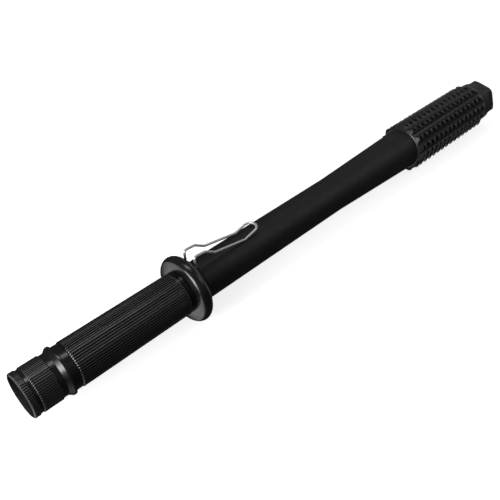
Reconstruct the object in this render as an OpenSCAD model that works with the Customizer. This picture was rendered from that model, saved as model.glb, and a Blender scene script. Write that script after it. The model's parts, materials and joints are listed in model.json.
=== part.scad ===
// Spiked baton torch: zoom head, fluted grip, round hand guard with a wire belt clip,
// long flared shaft and a spiked striking sleeve with a hexagonal tip.
// The axis of the torch is X. X = 0 is the rim of the light's mouth, and the clip is on +Z.

/* [Focus head] */
// Bore of the light's mouth
mouth_d = 28; // [27:0.1:28.4]
// Depth of the plain mouth in front of the lens lip
mouth_depth = 5.5; // [4.5:0.1:5.6]
// Diameter over the knurl of the bezel and the focus sleeve
head_d = 31.1; // [31:0.05:31.4]
// Diameter of the smooth groove and of the neck that the focus sleeve slides on
neck_d = 29.8; // [29.6:0.05:30]
// Length of the knurled part of the bezel
bezel_len = 4.4; // [4.2:0.1:4.8]
// Front end of the knurled focus sleeve
sleeve_front = 6.5; // [6.3:0.1:6.8]
// Rear end of the focus sleeve with the zoom half way
sleeve_rear = 19.8; // [19.6:0.1:19.9]
// Teeth of the knurl
knurl_count = 64; // [40:4:72]
// Focus travel each way
focus_travel = 3; // [2:0.1:3]

/* [Head barrel] */
// Diameter of the flared collar behind the neck
collar_d = 34.1; // [33:0.1:35]
// Diameter of the plain band between collar and grip
band_d = 30.9; // [30.6:0.1:31.4]
// Length of the threaded spigot that screws into the grip
spigot_len = 10; // [9:0.5:10]

/* [Grip] */
// Diameter over the flutes
grip_d = 32; // [31.8:0.1:34]
// Front end of the grip
grip_front = 32.6; // [32.4:0.1:33]
// Rear end of the flutes
flute_rear = 118.5; // [110:0.5:119]
// Number of flutes
flute_count = 58; // [40:2:62]
// Depth of a flute
flute_depth = 0.7; // [0.4:0.05:0.9]
// Bore for the battery
battery_bore_d = 26.6; // [26.4:0.1:27]

/* [Hand guard] */
// Front face of the guard
guard_front = 122.5; // [122:0.5:123.5]
// Outer diameter of the guard
guard_d = 50.7; // [49:0.1:52]
// Radius of the rounded rim
guard_nose = 5; // [4.5:0.1:5.2]
// Length from the front face to the foot of the sloping back
guard_len = 14.5; // [14:0.1:15]

/* [Shaft] */
// Diameter of the straight part of the shaft
shaft_d = 29.5; // [29:0.1:29.8]
// Where the shaft starts to flare
flare_start = 283; // [270:1:290]
// Diameter at the end of the flare
flare_d = 36.2; // [35:0.1:36.4]
// Wall of the shaft tube
shaft_wall = 1.7; // [1.5:0.1:2]

/* [Spiked sleeve] */
// Front end of the sleeve
collar_front = 381.7; // [381.5:0.1:382]
// Diameter over the spikes
spike_d = 44.5; // [43:0.1:46]
// Diameter of the body under the spikes
spike_root_d = 39; // [38.6:0.1:39.4]
// Rows of spikes round the sleeve
spike_rows = 14; // [10:1:14]
// Spikes in one row
spike_count = 16; // [12:1:16]
// Distance from one spike to the next
spike_pitch = 7.24; // [7:0.02:7.26]
// Width of a spike at its foot
spike_width = 7.2; // [6.5:0.1:7.4]
// Width of a spike at its crest
spike_top = 2.2; // [1:0.1:3]

/* [Tip] */
// Seam between the sleeve and the tip
tip_front = 499.5; // [499.5:0.1:501]
// Diameter of the tip
tip_d = 38.6; // [38:0.1:39]
// Length of the round part of the tip
tip_round = 8; // [3:0.5:10]
// Overall length of the torch
overall = 517.8; // [516:0.1:522]

/* [Belt clip] */
// Diameter of the clip's wire
wire_d = 1.8; // [1.6:0.1:2]
// Distance between the two legs of the clip
clip_w = 10.8; // [10:0.1:11]
// Height of the top of the clip's upright above the axis
clip_high = 26.8; // [26.4:0.1:27.2]
// Height of the clip's pinch point above the axis
clip_low = 15.1; // [15.1:0.1:15.6]

/* [Battery] */
// Diameter of the cell
cell_d = 18.3; // [18:0.1:18.6]
// Length of the cell without its positive button
cell_len = 64; // [63:0.1:64.2]

/* [Hidden] */
$fn = 160;

edge = 0.5;
fit_gap = 0.05;
free_gap = 0.3;

// Radii that several parts share
mouth_r = mouth_d / 2;
head_r = head_d / 2;
neck_r = neck_d / 2;
band_r = band_d / 2;
grip_r = grip_d / 2;
shaft_r = shaft_d / 2;
bore_r = battery_bore_d / 2;
wire_r = wire_d / 2;

// Focus head: a lip holds the lens from the front and a screwed ring from behind
knurl_depth = 0.45;
lip_len = 0.8;
lip_r = 12.8;
seal_len = 0.7;
lens_r = mouth_r - 0.15;
lens_edge_len = 2;
lens_dome = 1.3;
lens_back = 3.2;
retainer_len = 1.4;
retainer_w = 1.1;
bezel_spigot_r = 14.6;
seal_x = mouth_depth + lip_len;
lens_x = seal_x + seal_len;
retainer_x = lens_x + lens_edge_len;
bezel_end = retainer_x + retainer_len + 0.8;

// Head barrel, from the neck inside the focus sleeve to the spigot inside the grip
neck_front = bezel_end + focus_travel + free_gap;
neck_bore_r = 13.3;
neck_ring_x = neck_front + 1.1;
collar_front_x = 23.2;
collar_peak_x = 26;
collar_back_x = 27.4;
band_front = 28.1;
spigot_r = 13.7;
spigot_bore_r = 11.2;
spigot_end = grip_front + spigot_len;
head_ring_x = spigot_end - 2.4;
o_ring_r = 0.42;
groove_half = 0.5;

// Light engine inside the head barrel
emitter_len = 0.7;
emitter_w = 5;
emitter_dome_r = 1.6;
board_x = 18;
board_r = 10;
pill_x = 19.4;
pill_wall = 1.8;
pill_end = 28.9;
lead_r = 0.6;
lead_y = 4;
driver_x = 27.4;
driver_len = 1.2;
driver_r = 10.9;
lock_ring_len = 2.4;
engine_seat_x = 31.6;

// Grip
grip_edge = 1.2;
band_drop = 0.1;
grip_band_r = grip_r - band_drop;
grip_end = guard_front + 0.8;
relief_x = flute_rear + 1.6;
relief_len = 1;
relief_depth = 0.15;

// Battery and its springs
button_x = 40;
button_len = 1.2;
cell_x = button_x + button_len;
cell_end = cell_x + cell_len;
tail_x = 113;
tail_len = 1.2;

// Guard and the plug that joins grip, guard and shaft
plug_r = 13.2;
plug_front = tail_x + tail_len;
plug_end = 165;
plug_bore_r = 9;
plug_ring_x = guard_front - 4;
nose_x = guard_front + 4;
guard_r = guard_d / 2;
guard_back = guard_front + guard_len;
back_angle = 37;
shaft_front = guard_front + 7;

// Shaft, sleeve and tip
taper_end = 205;
flare_end = 384;
flare_r = flare_d / 2;
tail_spigot_r = 17;
tail_spigot_end = tip_front - 4;
sleeve_bore_r = tail_spigot_r + fit_gap;
root_r = spike_root_d / 2;
collar_r = 18.75;
// Turn of the first row of spikes about X, from +Z towards -Y
row_turn = 48.1;
tip_r = tip_d / 2;
tip_spigot_front = tip_front - 19;
tip_bore_r = tail_spigot_r - shaft_wall;
tip_ring_x = tip_front - 1.6;
tip_edge = 1.2;
// Turn of the tip's corners about X
hex_turn = 44;
spike_turn = 360 / spike_rows;

// Spikes: place of the second crest, run of the steep front, width of the crest and length in all
spike_x = 389.85;
spike_lean = 0.4;
spike_land = 0.9;
spike_len = 6.6;
first_lean = 2.2;
first_gap = 5.55;
foot_drop = 0.45;
spike_sink = 1.1;

// Side view of the clip as [x, z] points, from the foot in the guard to the pinch and the flared end
clip_foot_x = 133.5;
clip_foot_z = 15.3;
clip_path = [
    [clip_foot_x, clip_foot_z], [clip_foot_x, clip_high], [142.9, clip_high - 0.9],
    [151.2, 20.5], [179.9, clip_low], [189.6, 17.3]
];
foot_hole_r = wire_r + 0.4;
foot_hole_len = 12;
knuckle_r = wire_r + 0.06;
wire_sides = 48;

// Points [x, r] of an arc with centre [x, r], from angle a0 to a1, 90 degrees being outward
function arc(x, r, rad, a0, a1, n = 8) =
    [for (i = [0:n]) let (a = a0 + (a1 - a0) * i / n) [x + rad * cos(a), r + rad * sin(a)]];

// Outline of a ring of flat-topped teeth; top and foot are the widths as shares of the pitch
function toothed(n, ro, ri, top, foot) = [
    for (i = [0:n - 1])
        for (c = [[ri, -foot], [ro, -top], [ro, top], [ri, foot]])
            let (a = (i + c[1] / 2) * 360 / n) [c[0] * cos(a), c[0] * sin(a)]
];

// Solid of revolution about the X axis from [x, r] points
module turned(points) {
    rotate([0, 90, 0])
        rotate_extrude()
            polygon([for (p = points) [p[1], p[0]]]);
}

// Plain ring on the X axis
module ring(x0, x1, ro, ri) {
    turned([[x0, ri], [x0, ro], [x1, ro], [x1, ri]]);
}

// Plain disc on the X axis
module disc(x0, x1, r) {
    translate([x0, 0, 0])
        rotate([0, 90, 0])
            cylinder(h = x1 - x0, r = r);
}

// Round rubber ring on the X axis
module o_ring(x, r, section) {
    rotate([0, 90, 0])
        rotate_extrude()
            translate([r, x])
                circle(r = section, $fn = 32);
}

// Straight bar of an outline drawn across the X axis
module bar(x0, x1) {
    translate([x0, 0, 0])
        rotate([0, 90, 0])
            linear_extrude(height = x1 - x0)
                children();
}

// Solid knurled bar with chamfered ends
module knurled_bar(x0, x1, ro) {
    bar(x0 + edge, x1 - edge)
        polygon(toothed(knurl_count, ro, ro - knurl_depth, 0.35, 0.75));
    turned([[x0, 0], [x0, ro - edge], [x0 + edge, ro - 0.05], [x0 + edge, 0]]);
    turned([[x1 - edge, 0], [x1 - edge, ro - 0.05], [x1, ro - edge], [x1, 0]]);
}

// Coil spring on the X axis, widening from r0 at x0 to r1 at x1
module coil(x0, x1, r0, r1, turns, wire) {
    steps = 18;
    sides = 8;
    count = turns * steps;
    function at(i) = let (t = i / count, a = 360 * i / steps, r = r0 + (r1 - r0) * t)
        [x0 + wire + (x1 - x0 - 2 * wire) * t, r * cos(a), r * sin(a)];
    points = [
        for (i = [0:count])
            let (p = at(i), a = 360 * i / steps)
                for (k = [0:sides - 1])
                    let (b = 360 * k / sides, s = wire * cos(b))
                        [p[0] + wire * sin(b), p[1] + s * cos(a), p[2] + s * sin(a)]
    ];
    faces = concat(
        [for (i = [0:count - 1]) for (k = [0:sides - 1])
            [i * sides + k, i * sides + (k + 1) % sides,
             (i + 1) * sides + (k + 1) % sides, (i + 1) * sides + k]],
        [[for (k = [0:sides - 1]) sides - 1 - k]],
        [[for (k = [0:sides - 1]) count * sides + k]]
    );
    polyhedron(points = points, faces = faces);
}

// Direction from one [x, z] point of the clip's side view to another, in degrees from +X towards +Z
function run_angle(a, b) = atan2(b[1] - a[1], b[0] - a[0]);

// Straight wire between two [x, z] points
module wire_run(a, b) {
    translate([a[0], 0, a[1]])
        rotate([0, 90 - run_angle(a, b), 0])
            cylinder(h = norm(b - a), r = wire_r);
}

// ---------- Focus head ----------

module bezel_ring() {
    color([0.08, 0.08, 0.085])
        difference() {
            union() {
                knurled_bar(0, bezel_len, head_r);
                disc(bezel_len, sleeve_front, neck_r);
                disc(sleeve_front, bezel_end, bezel_spigot_r);
            }
            turned([
                [-1, 0], [-1, mouth_r], [mouth_depth, mouth_r], [mouth_depth, lip_r],
                [seal_x, lip_r], [seal_x, mouth_r], [bezel_end + 1, mouth_r], [bezel_end + 1, 0]
            ]);
        }
}

module lens_seal() {
    color([0.05, 0.05, 0.05])
        ring(seal_x, lens_x, lens_r, lip_r + 0.1);
}

// Biconvex zoom lens with a flat rim
module lens() {
    rim = lens_r - retainer_w - fit_gap;
    front_r = (rim * rim + lens_dome * lens_dome) / (2 * lens_dome);
    back_r = (rim * rim + lens_back * lens_back) / (2 * lens_back);
    color([0.8, 0.9, 1, 0.4])
        turned(concat(
            [for (i = [0:8]) let (a = asin(rim / front_r) * i / 8)
                [lens_x - lens_dome + front_r * (1 - cos(a)), front_r * sin(a)]],
            [[lens_x, lens_r], [retainer_x, lens_r]],
            [for (i = [8:-1:0]) let (a = asin(rim / back_r) * i / 8)
                [retainer_x + lens_back - back_r * (1 - cos(a)), back_r * sin(a)]]
        ));
}

module lens_retainer() {
    color([0.1, 0.1, 0.1])
        ring(retainer_x, retainer_x + retainer_len, lens_r, lens_r - retainer_w);
}

module focus_sleeve() {
    color([0.08, 0.08, 0.085])
        difference() {
            knurled_bar(sleeve_front, sleeve_rear, head_r);
            disc(sleeve_front - 1, bezel_end + 1, bezel_spigot_r + fit_gap);
            disc(bezel_end, sleeve_rear + 1, neck_r + fit_gap);
        }
}

// ---------- Head barrel and light engine ----------

module head_barrel() {
    color([0.08, 0.08, 0.085])
        difference() {
            turned([
                [neck_front, neck_bore_r], [neck_front, neck_r], [collar_front_x, neck_r],
                [collar_peak_x, collar_d / 2], [collar_back_x, collar_d / 2], [band_front, band_r],
                [grip_front, band_r], [grip_front, spigot_r], [spigot_end, spigot_r],
                [spigot_end, spigot_bore_r], [engine_seat_x, spigot_bore_r], [engine_seat_x, neck_bore_r]
            ]);
            ring(neck_ring_x - groove_half, neck_ring_x + groove_half, neck_r + 1, neck_r - 0.85);
            ring(head_ring_x - groove_half, head_ring_x + groove_half, spigot_r + 1, spigot_r - 0.85);
        }
}

module neck_o_ring() {
    color([0.04, 0.04, 0.04])
        o_ring(neck_ring_x, neck_r - o_ring_r, o_ring_r);
}

module led_emitter() {
    color([0.95, 0.9, 0.5]) {
        translate([board_x - emitter_len, -emitter_w / 2, -emitter_w / 2])
            cube([emitter_len, emitter_w, emitter_w]);
        difference() {
            translate([board_x - emitter_len, 0, 0])
                sphere(r = emitter_dome_r, $fn = 48);
            translate([board_x - emitter_len / 2, -emitter_w, -emitter_w])
                cube(2 * emitter_w);
        }
    }
}

module led_board() {
    color([0.9, 0.9, 0.9])
        difference() {
            disc(board_x, pill_x, board_r);
            for (side = [-1, 1])
                translate([board_x - 1, side * lead_y, 0])
                    rotate([0, 90, 0])
                        cylinder(h = 4, r = lead_r + 0.1, $fn = 32);
        }
}

// Brass carrier that takes the heat from the board to the barrel
module led_pill() {
    color([0.78, 0.6, 0.25])
        difference() {
            disc(pill_x, pill_end, neck_bore_r - fit_gap);
            disc(pill_x + pill_wall, pill_end + 1, driver_r + 0.1);
            for (side = [-1, 1])
                translate([pill_x - 1, side * lead_y, 0])
                    rotate([0, 90, 0])
                        cylinder(h = pill_wall + 2, r = lead_r + 0.3, $fn = 32);
        }
}

// The pair of leads from the driver to the board
module led_leads() {
    color([0.7, 0.05, 0.05])
        for (side = [-1, 1])
            translate([board_x + 0.2, side * lead_y, 0])
                rotate([0, 90, 0])
                    cylinder(h = driver_x - board_x - 0.2, r = lead_r, $fn = 32);
}

module driver_board() {
    color([0.1, 0.35, 0.15])
        disc(driver_x, driver_x + driver_len, driver_r);
}

module pill_lock_ring() {
    color([0.75, 0.58, 0.25])
        ring(pill_end, pill_end + lock_ring_len, neck_bore_r - fit_gap, spigot_bore_r);
}

module driver_spring() {
    color([0.85, 0.7, 0.3])
        coil(driver_x + driver_len, button_x - 0.1, 5, 3, 4, 0.4);
}

module head_o_ring() {
    color([0.04, 0.04, 0.04])
        o_ring(head_ring_x, spigot_r - o_ring_r, o_ring_r);
}

// ---------- Grip and battery ----------

module grip_tube() {
    color([0.07, 0.07, 0.075])
        difference() {
            union() {
                turned([
                    [grip_front, bore_r], [grip_front, grip_r - grip_edge],
                    [grip_front + grip_edge, grip_r - 0.02], [grip_front + grip_edge, bore_r]
                ]);
                bar(grip_front + grip_edge, flute_rear)
                    polygon(toothed(flute_count, grip_r, grip_r - flute_depth, 0.4, 0.7));
                turned([
                    [flute_rear, bore_r], [flute_rear, grip_band_r], [relief_x, grip_band_r],
                    [relief_x + relief_depth, grip_band_r - relief_depth],
                    [relief_x + relief_len - relief_depth, grip_band_r - relief_depth],
                    [relief_x + relief_len, grip_band_r], [grip_end, grip_band_r], [grip_end, bore_r]
                ]);
            }
            disc(grip_front - 1, grip_end + 1, bore_r);
            disc(grip_front - 1, spigot_end + 0.4, spigot_r + fit_gap);
        }
}

module battery_button() {
    color([0.8, 0.8, 0.82])
        disc(button_x, cell_x, 3.2);
}

module battery_cell() {
    color([0.1, 0.25, 0.55])
        turned([
            [cell_x, 0], [cell_x, cell_d / 2 - 0.6], [cell_x + 0.6, cell_d / 2],
            [cell_end - 0.6, cell_d / 2], [cell_end, cell_d / 2 - 0.6], [cell_end, 0]
        ]);
}

// Plastic liner that centres the cell in the grip
module battery_sleeve() {
    color([0.15, 0.15, 0.16])
        ring(spigot_end + 1, cell_end - 1, bore_r - 0.1, cell_d / 2 + 0.1);
}

module tail_spring() {
    color([0.85, 0.7, 0.3])
        coil(cell_end + 0.1, tail_x, 4, 7, 4, 0.5);
}

module tail_contact() {
    color([0.78, 0.6, 0.25])
        disc(tail_x, tail_x + tail_len, bore_r - 0.3);
}

// ---------- Guard, clip and shaft ----------

// Threaded plug that closes the battery bore and carries the guard and the shaft
module shaft_plug() {
    color([0.5, 0.5, 0.52])
        difference() {
            turned([
                [plug_front, 0], [plug_front, plug_r], [shaft_front, plug_r],
                [shaft_front, shaft_r - shaft_wall - fit_gap], [plug_end, shaft_r - shaft_wall - fit_gap],
                [plug_end, plug_bore_r], [plug_front + 4, plug_bore_r], [plug_front + 4, 0]
            ]);
            ring(plug_ring_x - groove_half, plug_ring_x + groove_half, plug_r + 1, plug_r - 0.8);
        }
}

module plug_o_ring() {
    color([0.04, 0.04, 0.04])
        o_ring(plug_ring_x, plug_r - o_ring_r + fit_gap, o_ring_r);
}

module guard_flange() {
    color([0.08, 0.08, 0.085])
        difference() {
            turned(concat(
                [
                    [grip_end, plug_r + fit_gap], [grip_end, grip_band_r + fit_gap],
                    [guard_front, grip_band_r + fit_gap], [guard_front, guard_r - 2]
                ],
                arc(nose_x, guard_r - guard_nose, guard_nose, 143, back_angle, 14),
                [[guard_back, shaft_r + 0.15], [shaft_front, shaft_r + 0.15], [shaft_front, plug_r + fit_gap]]
            ));
            for (side = [-1, 1])
                translate([clip_foot_x, side * clip_w / 2, clip_foot_z - free_gap])
                    cylinder(h = foot_hole_len, r = foot_hole_r, $fn = 32);
        }
}

// One bent spring wire: two feet in the guard, two legs and a rounded loop at the free end
module wire_clip() {
    last = len(clip_path) - 1;
    color([0.8, 0.8, 0.82]) {
        for (side = [-1, 1])
            translate([0, side * clip_w / 2, 0]) {
                for (i = [0:last - 1])
                    wire_run(clip_path[i], clip_path[i + 1]);
                for (i = [1:last])
                    translate([clip_path[i][0], 0, clip_path[i][1]])
                        sphere(r = knuckle_r, $fn = wire_sides);
            }
        translate([clip_path[last][0], 0, clip_path[last][1]])
            rotate([0, -run_angle(clip_path[last - 1], clip_path[last]), 0])
                rotate([0, 0, -90])
                    rotate_extrude(angle = 180)
                        translate([clip_w / 2, 0])
                            circle(r = wire_r, $fn = wire_sides);
    }
}

module shaft_tube() {
    inner_r = shaft_r - shaft_wall;
    color([0.06, 0.06, 0.06])
        turned([
            [shaft_front, inner_r], [shaft_front, shaft_r + 0.1],
            [taper_end, shaft_r], [flare_start, shaft_r],
            [flare_end, flare_r], [flare_end, tail_spigot_r], [tail_spigot_end, tail_spigot_r],
            [tail_spigot_end, tip_bore_r], [flare_end - 2, tip_bore_r], [flare_start, inner_r]
        ]);
}

// ---------- Spiked sleeve and tip ----------

// One spike with its crest's front edge at X = 0: steep front, narrow crest, long falling back
module spike(lean) {
    foot_r = root_r - foot_drop;
    crest = sqrt(pow(spike_d / 2, 2) - pow(spike_top / 2, 2));
    levels = [
        [root_r - spike_sink, -lean, spike_len, spike_width],
        [foot_r, -lean, spike_len, spike_width],
        [crest, 0, spike_land, spike_top]
    ];
    points = [
        for (v = levels)
            for (c = [[v[1], -1], [v[2], -1], [v[2], 1], [v[1], 1]])
                [c[0], c[1] * v[3] / 2, v[0]]
    ];
    sides = [
        for (k = [0, 4])
            for (i = [0:3])
                [k + i, k + 4 + i, k + 4 + (i + 1) % 4, k + (i + 1) % 4]
    ];
    polyhedron(points = points, faces = concat([[0, 1, 2, 3]], sides, [[11, 10, 9, 8]]));
}

// One row along +Z: the first spike has a sloping front that starts at the sleeve's end
module spike_row() {
    translate([spike_x - first_gap, 0, 0])
        spike(first_lean);
    for (i = [0:spike_count - 2])
        translate([spike_x + i * spike_pitch, 0, 0])
            spike(spike_lean);
}

module spiked_sleeve() {
    cone_slope = (flare_r - shaft_r) / (flare_end - flare_start);
    collar_bore = shaft_r + cone_slope * (collar_front - flare_start) + 0.1;
    color([0.07, 0.07, 0.07]) {
        turned([
            [collar_front, collar_bore], [collar_front, collar_r], [collar_front + edge, root_r],
            [tip_front - edge, root_r], [tip_front, root_r - edge], [tip_front, sleeve_bore_r],
            [flare_end + 0.1, sleeve_bore_r], [flare_end + 0.1, flare_r + 0.1]
        ]);
        for (i = [0:spike_rows - 1])
            rotate([row_turn + i * spike_turn, 0, 0])
                spike_row();
    }
}

module tip_o_ring() {
    color([0.04, 0.04, 0.04])
        o_ring(tip_ring_x, sleeve_bore_r - 0.8, 0.7);
}

// Screwed end cap: round at the seam, with six flats towards its flat end
module tip_cap() {
    color([0.08, 0.08, 0.08])
        difference() {
            union() {
                intersection() {
                    turned([
                        [tip_front, 0], [tip_front, tip_r - 0.3], [tip_front + 0.3, tip_r],
                        [overall - tip_edge, tip_r], [overall, tip_r - tip_edge], [overall, 0]
                    ]);
                    union() {
                        disc(tip_front, tip_front + tip_round, tip_r + 1);
                        rotate([hex_turn, 0, 0])
                            bar(tip_front, overall)
                                circle(r = tip_r + 0.3, $fn = 6);
                    }
                }
                disc(tip_spigot_front, tip_front, tip_bore_r - fit_gap);
            }
            disc(tip_spigot_front - 1, tip_front - 4, tip_bore_r - 3);
        }
}

bezel_ring();
lens_seal();
lens();
lens_retainer();
focus_sleeve();
head_barrel();
neck_o_ring();
led_emitter();
led_board();
led_pill();
led_leads();
pill_lock_ring();
driver_board();
driver_spring();
head_o_ring();
grip_tube();
battery_button();
battery_cell();
battery_sleeve();
tail_spring();
tail_contact();
shaft_plug();
plug_o_ring();
guard_flange();
wire_clip();
shaft_tube();
spiked_sleeve();
tip_o_ring();
tip_cap();
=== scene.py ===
"""Spiked baton torch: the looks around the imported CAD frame. Metres; X is the axis, +Z is the clip's side."""
import json
import math

import bmesh
import bpy
from mathutils import Matrix, Vector


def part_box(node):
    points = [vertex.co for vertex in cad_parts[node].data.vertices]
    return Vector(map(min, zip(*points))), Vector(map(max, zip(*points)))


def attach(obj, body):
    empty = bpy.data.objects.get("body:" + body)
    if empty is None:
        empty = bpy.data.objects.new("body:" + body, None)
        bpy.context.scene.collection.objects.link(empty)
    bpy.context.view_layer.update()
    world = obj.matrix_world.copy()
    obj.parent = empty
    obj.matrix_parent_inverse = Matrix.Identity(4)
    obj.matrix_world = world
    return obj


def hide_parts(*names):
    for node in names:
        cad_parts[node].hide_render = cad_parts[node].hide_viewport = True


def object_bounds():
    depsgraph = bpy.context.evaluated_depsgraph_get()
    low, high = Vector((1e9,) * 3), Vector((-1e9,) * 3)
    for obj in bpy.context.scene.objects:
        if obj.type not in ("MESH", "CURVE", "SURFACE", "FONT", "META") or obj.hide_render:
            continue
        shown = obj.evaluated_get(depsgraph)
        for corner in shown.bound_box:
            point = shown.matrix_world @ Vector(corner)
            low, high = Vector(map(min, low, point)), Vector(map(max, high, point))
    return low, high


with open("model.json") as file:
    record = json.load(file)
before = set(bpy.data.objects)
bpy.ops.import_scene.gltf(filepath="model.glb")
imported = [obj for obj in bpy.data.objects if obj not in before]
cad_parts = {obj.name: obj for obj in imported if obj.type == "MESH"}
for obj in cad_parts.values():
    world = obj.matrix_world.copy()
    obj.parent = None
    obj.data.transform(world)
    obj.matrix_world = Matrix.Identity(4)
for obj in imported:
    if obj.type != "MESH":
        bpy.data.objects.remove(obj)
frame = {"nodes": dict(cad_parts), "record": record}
cad_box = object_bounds()
nodes = frame["nodes"]
record = frame["record"]
MM = 0.001

# ---------- Sizes that the frame gives ----------

mounts = {m["name"]: m for m in record["mounts"]}
mouth_r = mounts["bezel_mouth"]["dims"]["r_mm"] * MM
mouth_depth = mounts["bezel_mouth"]["dims"]["length_mm"] * MM


def x_span(node):
    lo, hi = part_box(node)
    return lo.x, hi.x


def outer_r(node):
    lo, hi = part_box(node)
    return (hi.z - lo.z) / 2


bezel_x0, bezel_x1 = x_span("bezel_ring")
sleeve_x0, sleeve_x1 = x_span("focus_sleeve")
barrel_x0, barrel_x1 = x_span("head_barrel")
grip_x0, grip_x1 = x_span("grip_tube")
guard_x0, guard_x1 = x_span("guard_flange")
shaft_x0, shaft_x1 = x_span("shaft_tube")
spike_x0, spike_x1 = x_span("spiked_sleeve")
tip_x1 = x_span("tip_cap")[1]
head_r = outer_r("bezel_ring")
grip_r = outer_r("grip_tube")
guard_r = outer_r("guard_flange")
flare_r = outer_r("shaft_tube")
spike_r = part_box("spiked_sleeve")[1].z

# ---------- Mesh helpers ----------

# Largest share of a side that a rounded corner may take
CORNER_SHARE = 0.45


def corner(a, b, c, radius, steps):
    """Points of the corner at b, between a and c, rounded by about the radius."""
    u, v = a - b, c - b
    cut = min(radius / math.tan(u.angle(v) / 2), CORNER_SHARE * u.length, CORNER_SHARE * v.length)
    p0, p1 = b + u.normalized() * cut, b + v.normalized() * cut
    return [p0 * (1 - t) ** 2 + b * 2 * t * (1 - t) + p1 * t ** 2
            for t in (k / steps for k in range(steps + 1))]


def rounded(points, radius, steps=4):
    """Closed outline of (x, r) points, each corner rounded by radius or by the point's own third number."""
    out = []
    n = len(points)
    for i, p in enumerate(points):
        a, b, c = Vector(points[i - 1][:2]), Vector(p[:2]), Vector(points[(i + 1) % n][:2])
        rad = p[2] if len(p) > 2 else radius
        on_axis = b.y < 1e-7
        doubled = (a - b).length < 1e-8 or (c - b).length < 1e-8
        sharp = rad <= 0 or on_axis or doubled
        out += [(q.x, q.y) for q in ([b] if sharp else corner(a, b, c, rad, steps))]
    return out


def mesh_object(name, bm, sharp_deg=40):
    """A smooth-shaded object from a bmesh, sharp where faces meet at more than the angle."""
    bmesh.ops.remove_doubles(bm, verts=bm.verts, dist=1e-8)
    bmesh.ops.recalc_face_normals(bm, faces=bm.faces)
    mesh = bpy.data.meshes.new(name)
    bm.to_mesh(mesh)
    bm.free()
    mesh.shade_smooth()
    mesh.set_sharp_from_angle(angle=math.radians(sharp_deg))
    obj = bpy.data.objects.new(name, mesh)
    bpy.context.scene.collection.objects.link(obj)
    return obj


def lathe(name, outline, segments=192, shape=None, sharp_deg=40):
    """Solid of revolution about X from a closed outline; shape(x, r, angle) may change the radius."""
    bm = bmesh.new()
    rings = []
    for x, r in outline:
        if r < 1e-7:
            rings.append([bm.verts.new((x, 0, 0))])
            continue
        ring = []
        for k in range(segments):
            a = 2 * math.pi * k / segments
            rr = shape(x, r, a) if shape else r
            ring.append(bm.verts.new((x, -rr * math.sin(a), rr * math.cos(a))))
        rings.append(ring)
    for i, ring in enumerate(rings):
        after = rings[(i + 1) % len(rings)]
        if len(ring) == 1 and len(after) == 1:
            continue
        for k in range(segments):
            j = (k + 1) % segments
            corners = [ring[k % len(ring)], ring[j % len(ring)], after[j % len(after)], after[k % len(after)]]
            face = list(dict.fromkeys(corners))
            if len(face) > 2:
                bm.faces.new(face)
    return mesh_object(name, bm, sharp_deg)


def refine(outline, longest):
    """The same closed outline with its long straight runs divided."""
    out = []
    for i, p in enumerate(outline):
        q = outline[(i + 1) % len(outline)]
        n = max(1, math.ceil(math.dist(p, q) / longest))
        out += [(p[0] + (q[0] - p[0]) * k / n, p[1] + (q[1] - p[1]) * k / n) for k in range(n)]
    return out


def smoothstep(a, b, t):
    t = min(1.0, max(0.0, (t - a) / (b - a)))
    return t * t * (3 - 2 * t)


# Share of a tooth's pitch, on each side of its middle, that the domed crest takes
CREST_SHARE = 0.26


def tooth(angle, count):
    """0 on the domed crest of a tooth and 1 in the flat bottom of the gap; the flanks are steep."""
    phase = abs((angle * count / (2 * math.pi) + 0.5) % 1 - 0.5)
    return 4 * phase ** 2 if phase < CREST_SHARE else 1


# ---------- Material helpers ----------


def new_material(name):
    mat = bpy.data.materials.new(name)
    mat.use_nodes = True
    tree = mat.node_tree
    return mat, tree, tree.nodes["Principled BSDF"]


def noise(tree, scale, detail=3, stretch=(1, 1, 1)):
    """Noise in object space; stretch divides the scale along each axis."""
    coord = tree.nodes.new("ShaderNodeTexCoord")
    mapping = tree.nodes.new("ShaderNodeMapping")
    mapping.inputs["Scale"].default_value = tuple(1 / s for s in stretch)
    node = tree.nodes.new("ShaderNodeTexNoise")
    node.inputs["Scale"].default_value = scale
    node.inputs["Detail"].default_value = detail
    tree.links.new(coord.outputs["Object"], mapping.inputs["Vector"])
    tree.links.new(mapping.outputs["Vector"], node.inputs["Vector"])
    return node.outputs["Fac"]


def spread(tree, value, low, high, start=0.3, end=0.7):
    """The value, from start to end, mapped to the range from low to high and held there."""
    node = tree.nodes.new("ShaderNodeMapRange")
    node.inputs["From Min"].default_value = start
    node.inputs["From Max"].default_value = end
    node.inputs["To Min"].default_value = low
    node.inputs["To Max"].default_value = high
    tree.links.new(value, node.inputs["Value"])
    return node.outputs["Result"]


def grey(value):
    return (value,) * 3


def mix_colour(tree, value, first, second):
    """first where value is 0 and second where it is 1; first is a colour or a socket that gives one."""
    node = tree.nodes.new("ShaderNodeMix")
    node.data_type = "RGBA"
    if isinstance(first, tuple):
        node.inputs["A"].default_value = (*first, 1)
    else:
        tree.links.new(first, node.inputs["A"])
    node.inputs["B"].default_value = (*second, 1)
    tree.links.new(value, node.inputs["Factor"])
    return node.outputs["Result"]


def bump(tree, shader, height, distance, strength):
    """Bump shading; the distance is in metres."""
    node = tree.nodes.new("ShaderNodeBump")
    node.inputs["Distance"].default_value = distance
    node.inputs["Strength"].default_value = strength
    tree.links.new(height, node.inputs["Height"])
    tree.links.new(node.outputs["Normal"], shader.inputs["Normal"])


def worn_edges(tree, low=0.53, high=0.62):
    """1 on sharp outer edges, 0 elsewhere."""
    geometry = tree.nodes.new("ShaderNodeNewGeometry")
    return spread(tree, geometry.outputs["Pointiness"], 0, 1, low, high)


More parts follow.
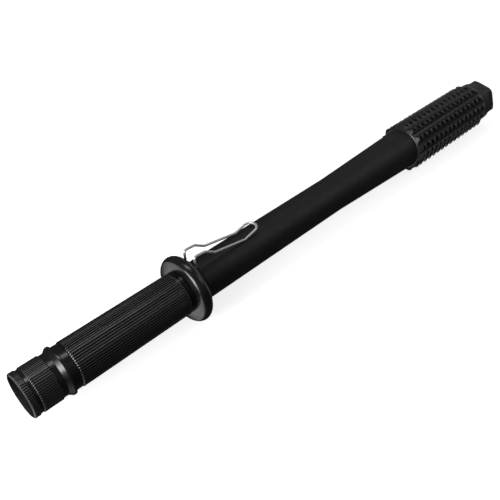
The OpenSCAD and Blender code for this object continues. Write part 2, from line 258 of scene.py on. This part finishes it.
def coated_metal(name, dark, light, rough, grain, edge=None, metallic=0.0, turned=False, specular=0.5):
    """Anodised or painted metal: cloudy colour, uneven gloss, fine grain or turning marks, paler edges."""
    mat, tree, shader = new_material(name)
    cloud = noise(tree, 60)
    colour = mix_colour(tree, cloud, dark, light)
    if edge:
        colour = mix_colour(tree, worn_edges(tree), colour, edge)
    tree.links.new(colour, shader.inputs["Base Color"])
    tree.links.new(spread(tree, noise(tree, 240), rough * 0.85, rough * 1.2), shader.inputs["Roughness"])
    shader.inputs["Metallic"].default_value = metallic
    shader.inputs["Specular IOR Level"].default_value = specular
    fine = noise(tree, 2500, 2, (0.06, 1, 1) if turned else (1, 1, 1))
    bump(tree, shader, fine, 0.02 * MM, grain)
    return mat


def painted_highlight_crests(name, radius, depth):
    """Black anodised teeth with a painted highlight: paler colour over the outer depth of their crests stands
    in for light caught on the crests, and the gaps stay dark; radius is the crests' own.
    """
    # Colour of the painted highlight on the crests
    crest_painted_highlight = grey(0.05)
    mat = coated_metal(name, grey(0.002), grey(0.004), 0.2, 0.05, specular=0.8)
    tree = mat.node_tree
    colour = tree.nodes["Principled BSDF"].inputs["Base Color"]
    coord = tree.nodes.new("ShaderNodeTexCoord")
    across = tree.nodes.new("ShaderNodeVectorMath")
    across.operation = "MULTIPLY"
    across.inputs[1].default_value = (0, 1, 1)
    length = tree.nodes.new("ShaderNodeVectorMath")
    length.operation = "LENGTH"
    tree.links.new(coord.outputs["Object"], across.inputs[0])
    tree.links.new(across.outputs["Vector"], length.inputs[0])
    # Painted highlight: the colour turns paler towards the crests' radius, so the crests look lit and the gaps
    # shaded
    crest = spread(tree, length.outputs["Value"], 0, 1, radius - depth, radius)
    tree.links.new(mix_colour(tree, crest, colour.links[0].from_socket, crest_painted_highlight), colour)
    return mat


def bare_metal(name, colour, rough, scratch, metallic=1.0):
    """Turned or drawn bare metal."""
    mat, tree, shader = new_material(name)
    dim = tuple(c * 0.82 for c in colour)
    tree.links.new(mix_colour(tree, noise(tree, 180), dim, colour), shader.inputs["Base Color"])
    tree.links.new(spread(tree, noise(tree, 700), rough * 0.7, rough * 1.4), shader.inputs["Roughness"])
    shader.inputs["Metallic"].default_value = metallic
    bump(tree, shader, noise(tree, 3000, 2, (0.05, 1, 1)), 0.02 * MM, scratch)
    return mat


def moulded(name, colour, rough, grain):
    """Rubber, plastic or solder mask."""
    mat, tree, shader = new_material(name)
    dim = tuple(c * 0.75 for c in colour)
    tree.links.new(mix_colour(tree, noise(tree, 300), dim, colour), shader.inputs["Base Color"])
    tree.links.new(spread(tree, noise(tree, 900), rough * 0.85, rough * 1.15), shader.inputs["Roughness"])
    bump(tree, shader, noise(tree, 4000, 2), 0.03 * MM, grain)
    return mat


def clear_glass(name):
    """Clear lens with a trace of dust in its gloss."""
    mat, tree, shader = new_material(name)
    shader.inputs["Base Color"].default_value = (0.94, 0.98, 1, 1)
    shader.inputs["Transmission Weight"].default_value = 1
    shader.inputs["IOR"].default_value = 1.5
    tree.links.new(spread(tree, noise(tree, 400), 0.0, 0.06), shader.inputs["Roughness"])
    return mat


MATERIALS = {
    "black_anodised": coated_metal("black_anodised", grey(0.003), grey(0.006), 0.22, 0.1, grey(0.008),
                                   turned=True, specular=0.7),
    # The toothed pieces of the grip and the head get a painted highlight on their crests
    "grip_teeth": painted_highlight_crests("grip_teeth", grip_r, 0.09 * MM),
    "head_teeth": painted_highlight_crests("head_teeth", head_r, 0.06 * MM),
    "mouth_satin": coated_metal("mouth_satin", grey(0.035), grey(0.05), 0.3, 0.2, metallic=0.4),
    "matt_black_coat": coated_metal("matt_black_coat", grey(0.006), grey(0.010), 0.5, 0.5),
    "spike_black": coated_metal("spike_black", grey(0.006), grey(0.011), 0.28, 0.2, grey(0.02), specular=0.8),
    "tip_black": coated_metal("tip_black", grey(0.014), grey(0.02), 0.42, 0.3, grey(0.03)),
    "spring_steel": bare_metal("spring_steel", (0.85, 0.85, 0.86), 0.3, 0.1, 0.7),
    "brass": bare_metal("brass", (0.72, 0.52, 0.2), 0.28, 0.3),
    "contact_spring": bare_metal("contact_spring", (0.8, 0.62, 0.28), 0.2, 0.15),
    "plated_steel": bare_metal("plated_steel", grey(0.7), 0.2, 0.2),
    "plain_aluminium": bare_metal("plain_aluminium", (0.55, 0.55, 0.57), 0.35, 0.4),
    "seal_rubber": moulded("seal_rubber", grey(0.02), 0.55, 0.3),
    "led_phosphor": moulded("led_phosphor", (0.9, 0.8, 0.25), 0.15, 0.05),
    "board_white": moulded("board_white", (0.85, 0.85, 0.83), 0.35, 0.1),
    "board_green": moulded("board_green", (0.03, 0.2, 0.08), 0.35, 0.2),
    "lead_insulation": moulded("lead_insulation", (0.5, 0.02, 0.02), 0.45, 0.2),
    "cell_wrap": moulded("cell_wrap", (0.05, 0.12, 0.35), 0.3, 0.1),
    "liner_plastic": moulded("liner_plastic", (0.05, 0.05, 0.055), 0.5, 0.3),
    "lens_glass": clear_glass("lens_glass"),
}
SLOT_OF = {part["node"]: part["material_slot"] for part in record["subparts"]}
BODY_OF = {node: body for body, members in record["behaviour"]["bodies"].items() for node in members}

for node, obj in nodes.items():
    obj.data.materials.clear()
    obj.data.materials.append(MATERIALS[SLOT_OF[node]])


def stand_for(piece, node):
    """The detailed piece rides where the CAD node does and takes its finish."""
    piece.data.materials.append(MATERIALS[SLOT_OF[node]])
    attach(piece, BODY_OF[node])
    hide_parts(node)
    return piece


# ---------- Focus head ----------

KNURL_COUNT = 64
KNURL_DEPTH = 0.35 * MM
GROOVE_R = 14.9 * MM
EDGE = 0.5 * MM
LIP_R = 12.8 * MM
SEAL_X = mouth_depth + 0.8 * MM
BEZEL_KNURL_END = 4.4 * MM
SPIGOT_R = 14.6 * MM
# Clearance between two pieces that fit into each other
FIT = 0.05 * MM
# Mesh segments on each tooth of a knurl or flute
TOOTH_SEGMENTS = 12


def knurled(x0, x1):
    """Shape function for a straight knurl between two chamfered ends."""
    below_teeth = head_r - 1.2 * KNURL_DEPTH

    def shape(x, r, a):
        if r < below_teeth or not x0 < x < x1:
            return r
        fade = smoothstep(x0, x0 + EDGE, x) * (1 - smoothstep(x1 - EDGE, x1, x))
        return r - KNURL_DEPTH * tooth(a, KNURL_COUNT) * fade

    return shape


def bezel():
    bevel, bevel_drop = 0.6 * MM, 0.9 * MM
    outline = rounded([
        (bezel_x0, mouth_r), (bezel_x0, head_r - bevel_drop), (bezel_x0 + bevel, head_r),
        (BEZEL_KNURL_END - EDGE, head_r), (BEZEL_KNURL_END, head_r - EDGE), (BEZEL_KNURL_END, GROOVE_R),
        (sleeve_x0, GROOVE_R), (sleeve_x0, SPIGOT_R), (bezel_x1, SPIGOT_R), (bezel_x1, mouth_r),
        (SEAL_X, mouth_r), (SEAL_X, LIP_R), (mouth_depth, LIP_R), (mouth_depth, mouth_r),
    ], 0.12 * MM, 3)
    return lathe("bezel", refine(outline, 0.6 * MM), KNURL_COUNT * TOOTH_SEGMENTS,
                 knurled(bezel_x0, BEZEL_KNURL_END))


def focus_sleeve():
    outline = rounded([
        (sleeve_x0, SPIGOT_R + FIT), (sleeve_x0, head_r - EDGE), (sleeve_x0 + EDGE, head_r),
        (sleeve_x1 - EDGE, head_r), (sleeve_x1, head_r - EDGE), (sleeve_x1, GROOVE_R + FIT),
        (bezel_x1, GROOVE_R + FIT), (bezel_x1, SPIGOT_R + FIT),
    ], 0.12 * MM, 3)
    return lathe("focus_grip", refine(outline, 0.8 * MM), KNURL_COUNT * TOOTH_SEGMENTS,
                 knurled(sleeve_x0, sleeve_x1))


def barrel():
    """Neck, conical collar and smooth band, with a spigot that goes into the grip."""
    neck_bore, spigot_bore, seat = 13.3 * MM, 11.2 * MM, 31.6 * MM
    neck_end, peak, peak_end, band_start = 23.2 * MM, 26 * MM, 27.4 * MM, 28.1 * MM
    collar_r = outer_r("head_barrel")
    band_r, spigot = 15.45 * MM, 13.7 * MM
    outline = rounded([
        (barrel_x0, neck_bore), (barrel_x0, GROOVE_R), (neck_end, GROOVE_R, 0.2 * MM),
        (peak, collar_r, 0.25 * MM), (peak_end, collar_r, 0.2 * MM), (band_start, band_r, 0.15 * MM),
        (grip_x0, band_r), (grip_x0, spigot), (barrel_x1, spigot), (barrel_x1, spigot_bore),
        (seat, spigot_bore), (seat, neck_bore),
    ], 0.12 * MM)
    return lathe("barrel", outline, 256)


def lens():
    """Thick zoom lens, curved on both sides, with a ground rim."""
    x0, x1 = x_span("lens")
    rim = outer_r("lens")
    rim_width = 1.15 * MM
    clear = rim - rim_width
    front, back = 1.3 * MM, 3.2 * MM
    rows = 24
    face = [(x0 + front * (k / rows) ** 2, clear * k / rows) for k in range(rows + 1)]
    rear = [(x1 - back * (k / rows) ** 2, clear * k / rows) for k in range(rows, -1, -1)]
    return lathe("zoom_lens", face + [(x0 + front, rim), (x1 - back, rim)] + rear, 128)


# ---------- Grip and guard ----------

FLUTE_COUNT = 58
FLUTE_DEPTH = 0.7 * MM
FLUTE_END = 118.5 * MM
FLUTE_RUN_OUT = 1.2 * MM
GRIP_EDGE = 1.2 * MM
BATTERY_R = 13.3 * MM
# The guard's rim is one arc between these two angles from +X
FRONT_ANGLE = 143
BACK_ANGLE = 37
WIRE_R = 0.9 * MM
CLIP_FOOT_Z = 15.3 * MM
CLIP_LO, CLIP_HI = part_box("wire_clip")
LEG_Y = CLIP_HI.y - WIRE_R - 0.06 * MM


def grip():
    """Fluted tube: the flutes run out before the guard, where a plain band has one shallow ring cut in it."""
    band = grip_r - 0.1 * MM
    ring, ring_side, ring_floor, ring_r = FLUTE_END + 1.6 * MM, 0.3 * MM, 0.4 * MM, band - 0.12 * MM
    socket, socket_r = barrel_x1 + 0.4 * MM, 13.75 * MM
    soft = 0.1 * MM
    outline = rounded([
        (grip_x0, socket_r), (grip_x0, grip_r - GRIP_EDGE), (grip_x0 + GRIP_EDGE, grip_r, 0.05 * MM),
        (FLUTE_END, grip_r, 0.05 * MM), (FLUTE_END + 0.05 * MM, band, 0.02 * MM), (ring, band, soft),
        (ring + ring_side, ring_r, soft), (ring + ring_side + ring_floor, ring_r, soft),
        (ring + 2 * ring_side + ring_floor, band, soft), (grip_x1, band), (grip_x1, BATTERY_R),
        (socket, BATTERY_R), (socket, socket_r),
    ], 0.12 * MM, 3)

    def shape(x, r, a):
        if r < band or x > FLUTE_END:
            return r
        fade = smoothstep(grip_x0, grip_x0 + GRIP_EDGE, x)
        fade *= 1 - smoothstep(FLUTE_END - FLUTE_RUN_OUT, FLUTE_END, x)
        return r - FLUTE_DEPTH * tooth(a, FLUTE_COUNT) * fade

    return lathe("grip", refine(outline, 1.2 * MM), FLUTE_COUNT * TOOTH_SEGMENTS, shape)


def guard():
    """Round guard: flat front, rounded rim, conical back, two drilled feet holes."""
    nose = 5 * MM
    nose_x = guard_x0 + 4 * MM
    bore, seat = 13.25 * MM, 14.9 * MM
    socket = grip_r - FIT
    face_r = guard_r - 2 * MM
    steps = 28
    rim = [math.radians(FRONT_ANGLE - (FRONT_ANGLE - BACK_ANGLE) * k / steps) for k in range(steps + 1)]
    outline = [(guard_x0, socket), (guard_x0, face_r)]
    outline += [(nose_x + nose * math.cos(t), guard_r - nose + nose * math.sin(t)) for t in rim]
    outline += [(guard_x1, seat), (shaft_x0, seat), (shaft_x0, bore), (grip_x1, bore), (grip_x1, socket)]
    piece = lathe("guard", outline, 256)
    drill_r, drill_length, below_foot = WIRE_R + 0.4 * MM, 12 * MM, 0.3 * MM
    for side in (-1, 1):
        bpy.ops.mesh.primitive_cylinder_add(
            vertices=40, radius=drill_r, depth=drill_length,
            location=(CLIP_LO.x + WIRE_R, side * LEG_Y, CLIP_FOOT_Z + drill_length / 2 - below_foot))
        drill = bpy.context.object
        cut = piece.modifiers.new("hole", "BOOLEAN")
        cut.operation = "DIFFERENCE"
        cut.solver = "EXACT"
        cut.object = drill
        bpy.context.view_layer.objects.active = piece
        bpy.ops.object.modifier_apply(modifier=cut.name)
        bpy.data.objects.remove(drill)
    piece.data.set_sharp_from_angle(angle=math.radians(40))
    return piece


# ---------- Clip ----------


def tube(name, path, radius, sides=20):
    """Round wire along a list of points, closed at both ends."""
    bm = bmesh.new()
    rings = []
    normal = Vector((0, 1, 0))
    for i, p in enumerate(path):
        ahead = path[min(i + 1, len(path) - 1)] - path[max(i - 1, 0)]
        ahead.normalize()
        normal = (normal - ahead * normal.dot(ahead)).normalized()
        other = ahead.cross(normal)
        rings.append([bm.verts.new(p + radius * (normal * math.cos(a) + other * math.sin(a)))
                      for a in (2 * math.pi * k / sides for k in range(sides))])
    for one, two in zip(rings, rings[1:]):
        for k in range(sides):
            bm.faces.new((one[k], one[(k + 1) % sides], two[(k + 1) % sides], two[k]))
    bm.faces.new(rings[0])
    bm.faces.new(rings[-1])
    return mesh_object(name, bm, 60)


def bend_path(points, radius, steps=8):
    """Open path with rounded corners, each kept to the bend radius."""
    out = [points[0]]
    for a, b, c in zip(points, points[1:], points[2:]):
        out += corner(a, b, c, radius, steps)
    out.append(points[-1])
    return out


def clip():
    """One bent wire: up out of the guard, over the shoulder, down to the pinch and up round the open loop."""
    foot_z = CLIP_FOOT_Z / MM
    side_view = [(133.5, foot_z), (133.5, 26.8), (142.9, 25.9), (151.2, 20.5), (179.9, 15.1), (189.6, 17.3)]
    leg = [Vector((x * MM, LEG_Y, z * MM)) for x, z in side_view]
    rise = (leg[-1] - leg[-2]).normalized()
    steps = 24
    loop = [leg[-1] + rise * LEG_Y * math.sin(t) + Vector((0, LEG_Y * (math.cos(t) - 1), 0))
            for t in (math.pi * k / steps for k in range(1, steps))]
    near = bend_path(leg, 2.2 * MM)
    far = [Vector((p.x, -p.y, p.z)) for p in reversed(near)]
    return tube("belt_clip_wire", near + loop + far, WIRE_R)


# ---------- Shaft, spiked sleeve and tip ----------

SHAFT_R = 14.75 * MM
FLARE_X0 = 283 * MM
FLARE_X1 = 384 * MM


def flared_r(x):
    """The shaft's radius at x on its flare."""
    return SHAFT_R + (flare_r - SHAFT_R) * (x - FLARE_X0) / (FLARE_X1 - FLARE_X0)


def shaft():
    inner = SHAFT_R - 1.7 * MM
    taper_end, taper = 205 * MM, 0.1 * MM
    spigot, bore, step_back = 17 * MM, 15.3 * MM, 2 * MM
    steps = 12
    flare = [FLARE_X0 + (FLARE_X1 - FLARE_X0) * k / steps for k in range(steps + 1)]
    outline = [(shaft_x0, inner), (shaft_x0, SHAFT_R + taper), (taper_end, SHAFT_R)]
    outline += [(x, flared_r(x)) for x in flare]
    outline += [(FLARE_X1, spigot), (shaft_x1, spigot), (shaft_x1, bore), (FLARE_X1 - step_back, bore),
                (FLARE_X0, inner)]
    return lathe("shaft", refine(outline, 6 * MM), 192)


SPIKE_X = 389.85 * MM
FIRST_SPIKE_X = 384.3 * MM
SPIKE_PITCH = 7.24 * MM
SPIKE_COUNT = 16
SPIKE_ROWS = 14
SPIKE_LEN = 6.6 * MM
SPIKE_LAND = 0.9 * MM
SPIKE_W = 7.2 * MM
CREST_W = 2.2 * MM
# Run of a spike's front from foot to crest: the first of each row slopes, the others are steep
FIRST_LEAN = 2.2 * MM
LEAN = 0.4 * MM
ROOT_R = 19.5 * MM
FRONT_R = 18.75 * MM
ROW_TURN = math.radians(48.1)
HEX_TURN = math.radians(44)


def add_spike(bm, x, lean, turning):
    """One spike with its crest's front edge at x: steep front, narrow crest, long falling back."""
    crest = math.sqrt(spike_r ** 2 - (CREST_W / 2) ** 2)
    base, foot = ROOT_R - 1.1 * MM, ROOT_R - 0.45 * MM
    levels = [(base, -lean, SPIKE_LEN, SPIKE_W), (foot, -lean, SPIKE_LEN, SPIKE_W),
              (crest, 0, SPIKE_LAND, CREST_W)]
    rings = []
    for z, front, back, width in levels:
        corners = ((front, -1), (back, -1), (back, 1), (front, 1))
        rings.append([bm.verts.new(turning @ Vector((x + dx, side * width / 2, z))) for dx, side in corners])
    for one, two in zip(rings, rings[1:]):
        for k in range(4):
            bm.faces.new((one[k], one[(k + 1) % 4], two[(k + 1) % 4], two[k]))
    bm.faces.new(rings[0][::-1])
    bm.faces.new(rings[-1])


def sleeve_body():
    """The sleeve without its spikes; its front end is slipped over the end of the shaft's flare."""
    bore, slack = 17.05 * MM, 0.1 * MM
    step = FLARE_X1 + slack
    outline = rounded([
        (spike_x0, flared_r(spike_x0) + slack), (spike_x0, FRONT_R), (spike_x0 + EDGE, ROOT_R),
        (spike_x1 - EDGE, ROOT_R), (spike_x1, ROOT_R - EDGE), (spike_x1, bore), (step, bore),
        (step, flare_r + slack),
    ], 0.1 * MM, 3)
    return lathe("spike_sleeve_body", refine(outline, 8 * MM), 192)


def spikes():
    """Rows of spikes; the first spike of each row has a sloping front that starts at the sleeve's end."""
    bm = bmesh.new()
    for i in range(SPIKE_ROWS):
        turning = Matrix.Rotation(ROW_TURN + i * 2 * math.pi / SPIKE_ROWS, 4, "X")
        add_spike(bm, FIRST_SPIKE_X, FIRST_LEAN, turning)
        for k in range(SPIKE_COUNT - 1):
            add_spike(bm, SPIKE_X + k * SPIKE_PITCH, LEAN, turning)
    sharp = 25
    piece = mesh_object("spike_rows", bm, sharp)
    soft = piece.modifiers.new("soft_edges", "BEVEL")
    soft.width = 0.22 * MM
    soft.segments = 2
    soft.limit_method = "ANGLE"
    soft.angle_limit = math.radians(sharp)
    return piece


def tip():
    """End cap: round at the seam, then six flats that run out in curved scallops towards the flat end."""
    r, seam, bevel = 19.3 * MM, 0.3 * MM, 1.2 * MM
    half_side = math.pi / 6
    flat = (r + 0.3 * MM) * math.cos(half_side)
    spigot, spigot_x = 15.25 * MM, spike_x1 - 19 * MM
    start, run_in = spike_x1 + 8 * MM, 1.5 * MM
    outline = rounded([
        (spike_x1, spigot), (spike_x1, r - seam), (spike_x1 + seam, r, 0.1 * MM), (start, r, 0.0),
        (tip_x1 - bevel, r, 0.5 * MM), (tip_x1, r - bevel, 0.2 * MM), (tip_x1, 0),
        (spigot_x, 0), (spigot_x, spigot),
    ], 0.1 * MM)

    def shape(x, rr, a):
        if x < start or rr < flat / 2:
            return rr
        turn = (a - HEX_TURN + half_side) % (2 * half_side) - half_side
        face = flat / math.cos(half_side - abs(turn))
        return rr + (min(rr, face) - rr) * smoothstep(start, start + run_in, x)

    return lathe("tip", refine(outline, 0.8 * MM), 240, shape, 30)


ring_piece = stand_for(bezel(), "bezel_ring")
ring_piece.data.materials[0] = MATERIALS["head_teeth"]
ring_piece.data.materials.append(MATERIALS["mouth_satin"])
for face in ring_piece.data.polygons:
    if face.center.x < mouth_depth and face.center.yz.length < mouth_r + 0.1 * MM:
        face.material_index = 1
sleeve_piece = stand_for(focus_sleeve(), "focus_sleeve")
sleeve_piece.data.materials[0] = MATERIALS["head_teeth"]
stand_for(barrel(), "head_barrel")
stand_for(lens(), "lens")
grip_piece = stand_for(grip(), "grip_tube")
grip_piece.data.materials[0] = MATERIALS["grip_teeth"]
stand_for(guard(), "guard_flange")
stand_for(clip(), "wire_clip")
stand_for(shaft(), "shaft_tube")
stand_for(sleeve_body(), "spiked_sleeve")
stand_for(spikes(), "spiked_sleeve")
stand_for(tip(), "tip_cap")

# ---------- Stage ----------

STAGE_X = 0.26
FLOOR_SIZE = 8
BACKDROP_R = 3.9
# Strength of the light from below the horizon and from above it
SKY_LOW, SKY_HIGH = 0.04, 0.13
# White cards beyond the mouth and the tip: direction, strength, and the cosines between which each fades in
CARDS = (((-0.85, 0.27, -0.46), 1.1, 0.64, 0.84), ((0.94, 0.12, 0.0), 0.45, 0.82, 0.95))


def white_floor():
    """Plain pale floor with a soft contact shadow; it neither lights the torch nor shows in its gloss."""
    bpy.ops.mesh.primitive_plane_add(size=FLOOR_SIZE, location=(STAGE_X, 0, cad_box[0].z))
    floor = bpy.context.object
    floor.name = "floor"
    mat, tree, shader = new_material("floor_white")
    pale = mix_colour(tree, noise(tree, 4), grey(0.8), grey(0.84))
    tree.links.new(pale, shader.inputs["Base Color"])
    shader.inputs["Emission Color"].default_value = (1, 1, 1, 1)
    shader.inputs["Emission Strength"].default_value = 0.78
    shader.inputs["Roughness"].default_value = 0.9
    floor.data.materials.append(mat)
    floor.visible_glossy = False
    floor.visible_diffuse = False


def backdrop():
    """Plain pale wall all round, for low views; only the camera sees it, so it doesn't change the light."""
    bpy.ops.mesh.primitive_cylinder_add(
        vertices=96, radius=BACKDROP_R, depth=FLOOR_SIZE, location=(STAGE_X, 0, 0))
    wall = bpy.context.object
    wall.name = "backdrop"
    mat, tree, shader = new_material("backdrop_white")
    pale = mix_colour(tree, noise(tree, 4), grey(0.9), grey(0.94))
    shader.inputs["Base Color"].default_value = (0, 0, 0, 1)
    shader.inputs["Specular IOR Level"].default_value = 0
    tree.links.new(pale, shader.inputs["Emission Color"])
    shader.inputs["Emission Strength"].default_value = 1
    wall.data.materials.append(mat)
    wall.visible_diffuse = wall.visible_glossy = wall.visible_transmission = False
    wall.visible_volume_scatter = wall.visible_shadow = False


def tent():
    """Soft white light from above, fading below the horizon, and white cards beyond the mouth and the tip."""
    world = bpy.data.worlds.new("tent")
    world.use_nodes = True
    tree = world.node_tree
    coord = tree.nodes.new("ShaderNodeTexCoord")
    split = tree.nodes.new("ShaderNodeSeparateXYZ")
    tree.links.new(coord.outputs["Generated"], split.inputs["Vector"])
    total = spread(tree, split.outputs["Z"], SKY_LOW, SKY_HIGH, -0.1, 0.5)
    for direction, strength, start, end in CARDS:
        toward = tree.nodes.new("ShaderNodeVectorMath")
        toward.operation = "DOT_PRODUCT"
        toward.inputs[1].default_value = Vector(direction).normalized()
        tree.links.new(coord.outputs["Generated"], toward.inputs[0])
        both = tree.nodes.new("ShaderNodeMath")
        tree.links.new(total, both.inputs[0])
        tree.links.new(spread(tree, toward.outputs["Value"], 0, strength, start, end), both.inputs[1])
        total = both.outputs["Value"]
    background = tree.nodes["Background"]
    background.inputs["Color"].default_value = (1, 1, 1, 1)
    tree.links.new(total, background.inputs["Strength"])
    bpy.context.scene.world = world


def area_light(name, place, target, size, power):
    data = bpy.data.lights.new(name, "AREA")
    data.shape = "RECTANGLE"
    data.size, data.size_y = size
    data.energy = power
    lamp = bpy.data.objects.new(name, data)
    lamp.location = place
    lamp.rotation_euler = (Vector(target) - Vector(place)).to_track_quat("-Z", "Y").to_euler()
    bpy.context.scene.collection.objects.link(lamp)


def camera():
    """A 44 mm lens above and before the mouth, to the -Y side, looking along the torch."""
    data = bpy.data.cameras.new("camera")
    data.sensor_width = 36
    data.lens = 44.2
    data.shift_y = 0.001
    data.clip_start, data.clip_end = 0.01, 20
    eye = bpy.data.objects.new("camera", data)
    right = Vector((0.7104, -0.7010, -0.0613))
    down = Vector((-0.4662, -0.4041, -0.7868))
    forward = right.cross(down)
    eye.matrix_world = Matrix.Translation((-0.0538, -0.2704, 0.2795)) @ Matrix(
        (right, -down, -forward)).transposed().to_4x4()
    bpy.context.scene.collection.objects.link(eye)
    bpy.context.scene.camera = eye


white_floor()
backdrop()
area_light("overhead", place=(0.20, 0.2, 1.2), target=(0.15, 0, 0), size=(0.8, 0.3), power=2.2)
area_light("left", place=(-0.95, -0.08, 0.32), target=(0.1, 0, 0), size=(0.8, 0.6), power=14)
area_light("right", place=(1.0, -0.65, 0.75), target=(0.3, 0, 0), size=(0.8, 0.6), power=1)
tent()
bpy.context.scene.view_settings.view_transform = "Standard"
camera()
